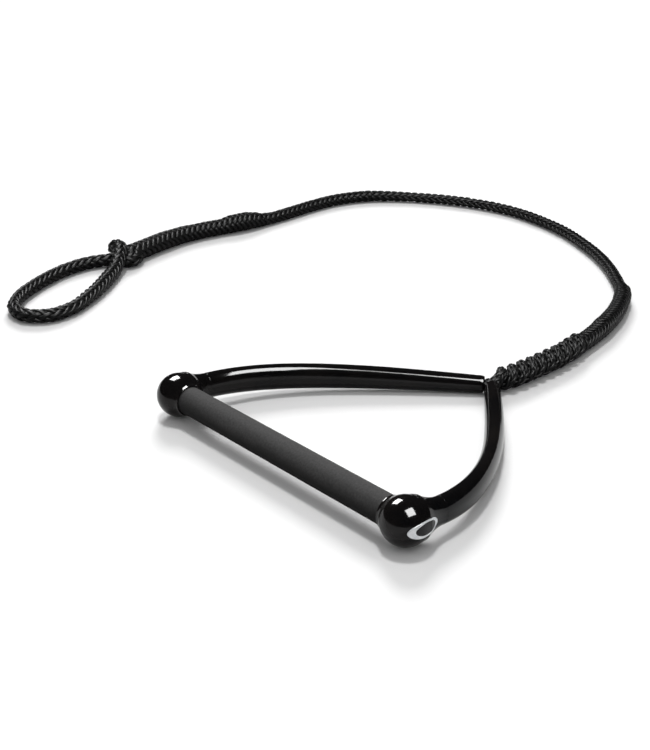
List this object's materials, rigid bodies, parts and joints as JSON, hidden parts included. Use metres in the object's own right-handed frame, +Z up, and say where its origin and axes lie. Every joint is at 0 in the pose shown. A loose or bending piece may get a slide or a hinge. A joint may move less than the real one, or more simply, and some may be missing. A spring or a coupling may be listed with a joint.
{
  "type": "tow rope handle",
  "caption": "Tow rope handle: straight rubber grip between two ball ends, curved hollow bridle arms to an apex, and a braided tow rope ending in a spliced eye loop.",
  "frame": {"origin": "bottom centre of the handle's own box (rope not counted), on the surface it lies on", "axes": "+X along the grip, +Y from the grip towards the apex where the tow rope leaves, +Z up"},
  "size_m": [0.8454, 0.7658, 0.045],
  "materials": {
    "grip_rubber": "fine suede-like matte",
    "moulded_gloss": "high gloss",
    "core_aluminium": "mill finish",
    "float_foam": "closed-cell foam",
    "plug_nylon": "moulded matte",
    "washer_steel": "brushed",
    "badge_face": "gloss print under a clear coat",
    "rope_braid": "hollow-braid polyethylene, slightly shiny"
  },
  "bodies": {
    "handle": {"grip_sleeve": "grip_rubber", "grip_core_tube": "core_aluminium", "float_core": "float_foam", "end_plug_right": "plug_nylon", "end_ball_right": "moulded_gloss", "cap_badge_right": "badge_face", "bridle_arm_right": "moulded_gloss", "bridle_rope_right": "rope_braid", "stopper_knot_right": "rope_braid", "knot_washer_right": "washer_steel", "end_plug_left": "plug_nylon", "end_ball_left": "moulded_gloss", "cap_badge_left": "badge_face", "bridle_arm_left": "moulded_gloss", "bridle_rope_left": "rope_braid", "stopper_knot_left": "rope_braid", "knot_washer_left": "washer_steel"},
    "tow_line": {"lacing_root": "rope_braid", "apex_lacing": "rope_braid", "apex_splice": "rope_braid", "tow_rope": "rope_braid", "buried_tail": "rope_braid", "loop_splice": "rope_braid", "throat_knot": "rope_braid"},
    "hitch_loop": {"eye_loop": "rope_braid"}
  },
  "joints": [
    {"name": "tow_yaw", "type": "hinge", "parent": "handle", "child": "tow_line", "pos_m": [0, 0.154, 0], "axis": [0, 0, 1], "range_deg": [-45, 45]},
    {"name": "loop_yaw", "type": "hinge", "parent": "tow_line", "child": "hitch_loop", "pos_m": [-0.616, 0.08, 0], "axis": [0, 0, 1], "range_deg": [-20, 20]}
  ]
}
